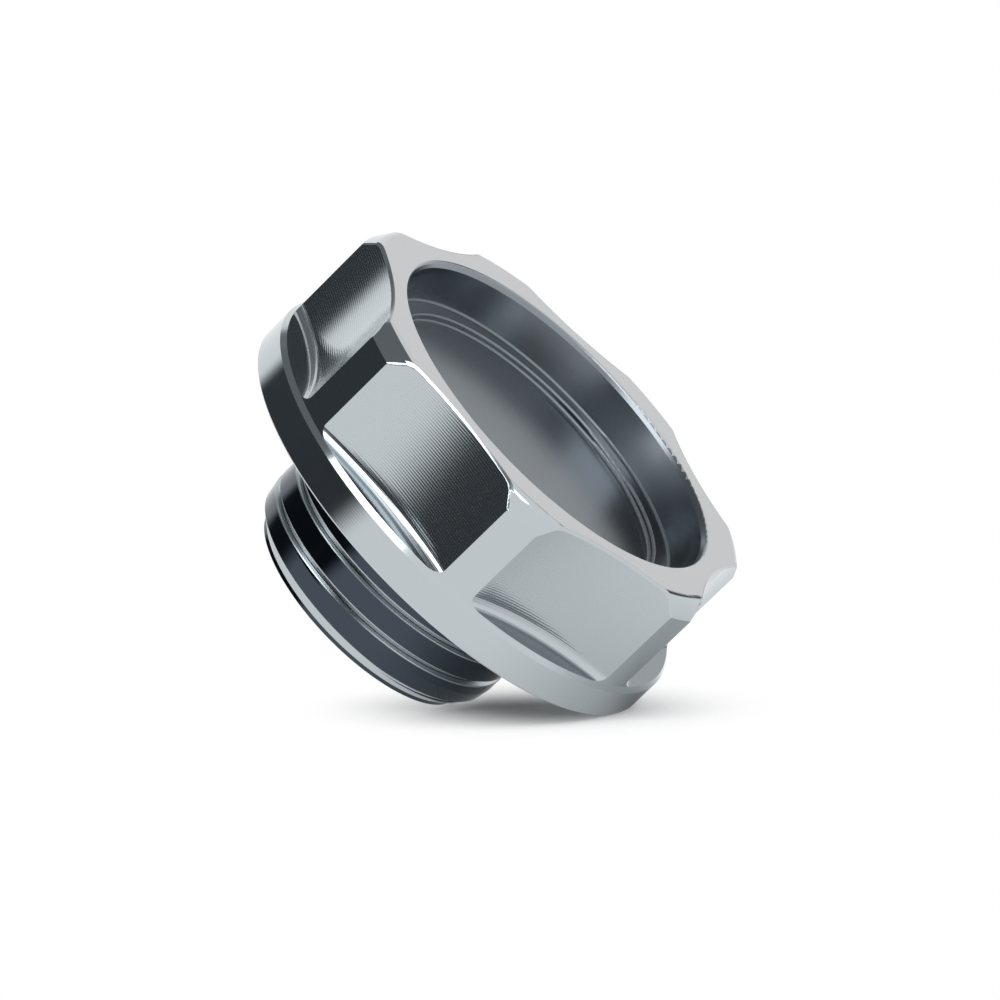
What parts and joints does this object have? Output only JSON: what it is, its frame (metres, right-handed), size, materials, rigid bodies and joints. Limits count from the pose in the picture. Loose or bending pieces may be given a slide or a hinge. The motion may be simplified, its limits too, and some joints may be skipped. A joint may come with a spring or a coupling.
{
  "type": "oil filler cap",
  "caption": "Round metal filler cap with a fluted grip, a stepped recess in its crown, a coarse threaded spigot and a rubber sealing ring under the flange.",
  "frame": {"origin": "centre of the flat ring at the spigot's end, which the cap stands on", "axes": "+Z along the turning axis from the spigot's end to the crown, the way the cap leaves the filler neck; -Y through the middle of one flute; +X completes a right-handed frame"},
  "size_m": [0.057, 0.057, 0.0318],
  "materials": {
    "aluminium": "glossy dark grey anodised",
    "seal": "matte black"
  },
  "bodies": {
    "root": {"cap_body": "aluminium", "sealing_ring": "seal"}
  },
  "joints": []
}
